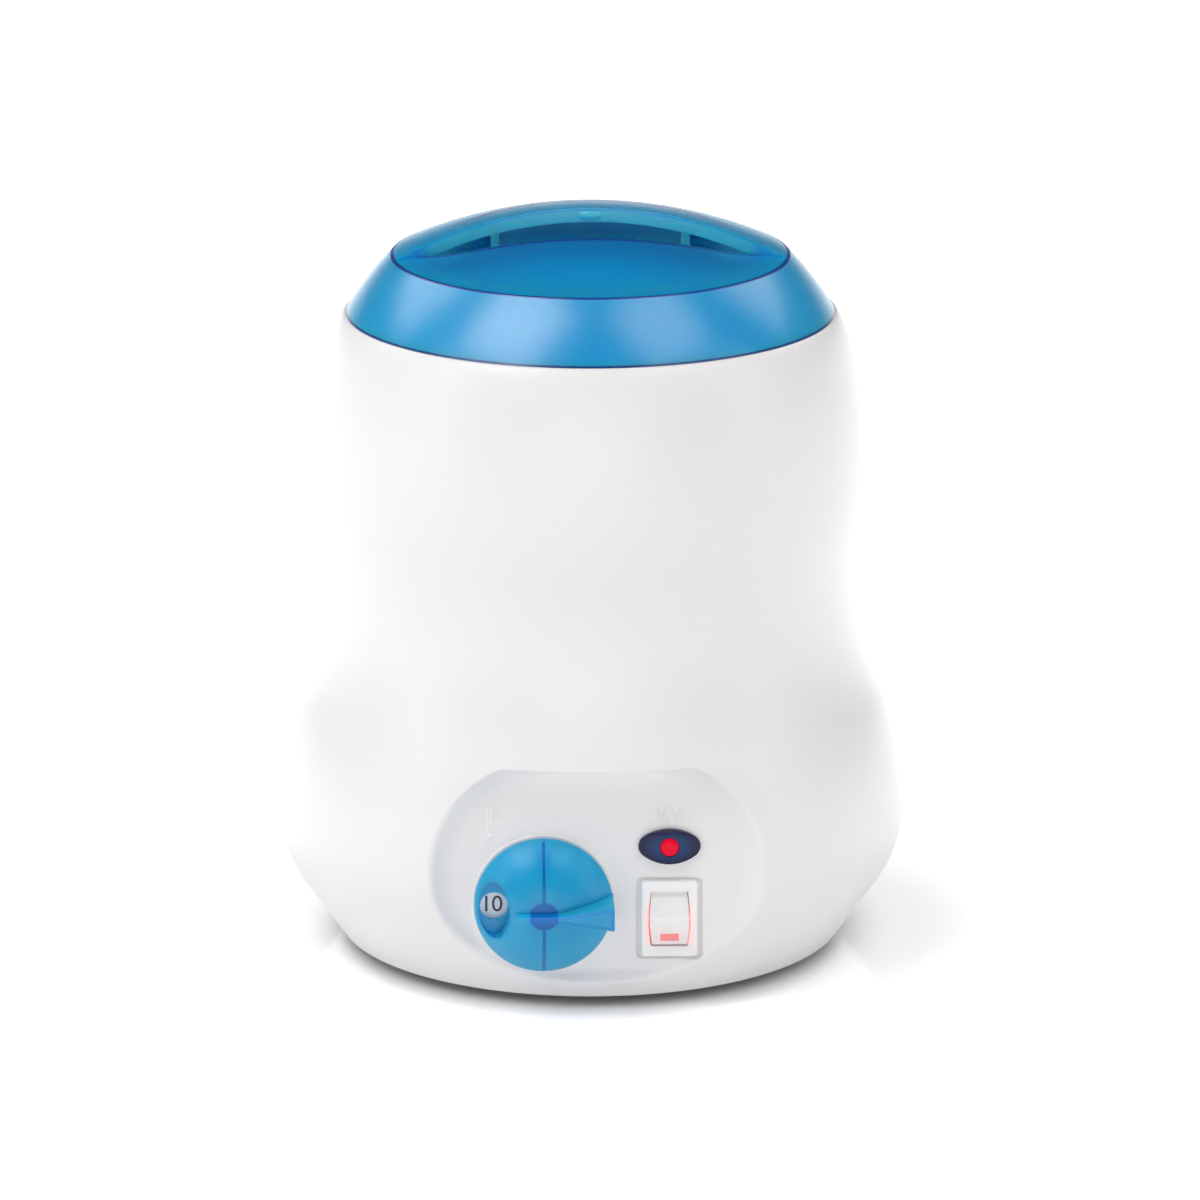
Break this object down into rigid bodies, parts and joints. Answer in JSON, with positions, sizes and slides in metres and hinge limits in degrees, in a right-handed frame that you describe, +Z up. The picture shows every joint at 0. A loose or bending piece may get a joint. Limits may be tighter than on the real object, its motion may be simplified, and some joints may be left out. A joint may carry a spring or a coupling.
{
  "type": "wax warmer",
  "caption": "Waisted white pot warmer with a heated aluminium well, lift-off translucent lid with a hooded grip, thermostat dial, rocker switch and lamp in a recessed panel.",
  "frame": {"origin": "middle of the footprint, on the surface that the rubber feet stand on", "axes": "+Z up along the pot's axis; -Y is the front, where the control panel faces; +X is to the right as seen from the front"},
  "size_m": [0.1722, 0.1723, 0.2023],
  "materials": {
    "casing_white": "glossy",
    "base_dark": "matte",
    "foot_rubber": "matte",
    "screw_steel": "satin",
    "gland_white": "satin",
    "pot_aluminium": "satin",
    "silicone_seal": "matte",
    "heater_mica": "matte",
    "insulation_felt": "matte",
    "copper_tube": "satin",
    "thermostat_case": "matte",
    "terminal_brass": "satin",
    "scale_white": "matte",
    "dial_blue": "glossy",
    "switch_white": "glossy",
    "signal_red": "glossy",
    "lens_navy": "glossy",
    "holder_black": "matte",
    "lamp_glass": "clear",
    "block_nylon": "matte",
    "wire_brown": "matte",
    "wire_blue": "matte",
    "wire_green": "matte",
    "wire_black": "matte",
    "lid_blue": "glossy"
  },
  "bodies": {
    "root": {"casing": "casing_white", "base_plate": "base_dark", "rubber_feet": "foot_rubber", "base_screws": "screw_steel", "cord_gland": "gland_white", "heating_pot": "pot_aluminium", "pot_gasket": "silicone_seal", "heater_band": "heater_mica", "heater_clamp": "screw_steel", "insulation_sleeve": "insulation_felt", "heat_shield": "screw_steel", "pot_spacer": "screw_steel", "tie_rod": "screw_steel", "tie_nuts": "screw_steel", "sensor_bulb": "copper_tube", "bulb_clips": "screw_steel", "capillary_tube": "copper_tube", "thermal_cutout": "thermostat_case", "thermostat_body": "thermostat_case", "thermostat_terminals": "terminal_brass", "thermostat_screws": "screw_steel", "dial_scale_disc": "scale_white", "switch_frame": "switch_white", "switch_terminals": "terminal_brass", "indicator_lens": "lens_navy", "indicator_jewel": "signal_red", "indicator_holder": "holder_black", "neon_lamp": "lamp_glass", "terminal_block": "block_nylon", "live_wires": "wire_brown", "neutral_wires": "wire_blue", "earth_wire": "wire_green", "lamp_leads": "wire_black", "earth_screw": "terminal_brass"},
    "dial_body": {"dial": "dial_blue", "dial_spring_clip": "screw_steel", "thermostat_shaft": "terminal_brass"},
    "rocker_body": {"switch_rocker": "switch_white", "rocker_window": "signal_red"},
    "lid_body": {"lid": "lid_blue"}
  },
  "joints": [
    {"name": "lid_lift", "type": "slide", "parent": "root", "child": "lid_body", "axis": [0, 0, 1], "range_m": [0, 0.14]},
    {"name": "dial_turn", "type": "hinge", "parent": "root", "child": "dial_body", "pos_m": [-0.0143, -0.07, 0.03], "axis": [0, -1, 0], "range_deg": [0, 280]},
    {"name": "switch_rock", "type": "hinge", "parent": "root", "child": "rocker_body", "pos_m": [0.0192, -0.0695, 0.0253], "axis": [1, 0, 0], "range_deg": [0, 22]}
  ]
}
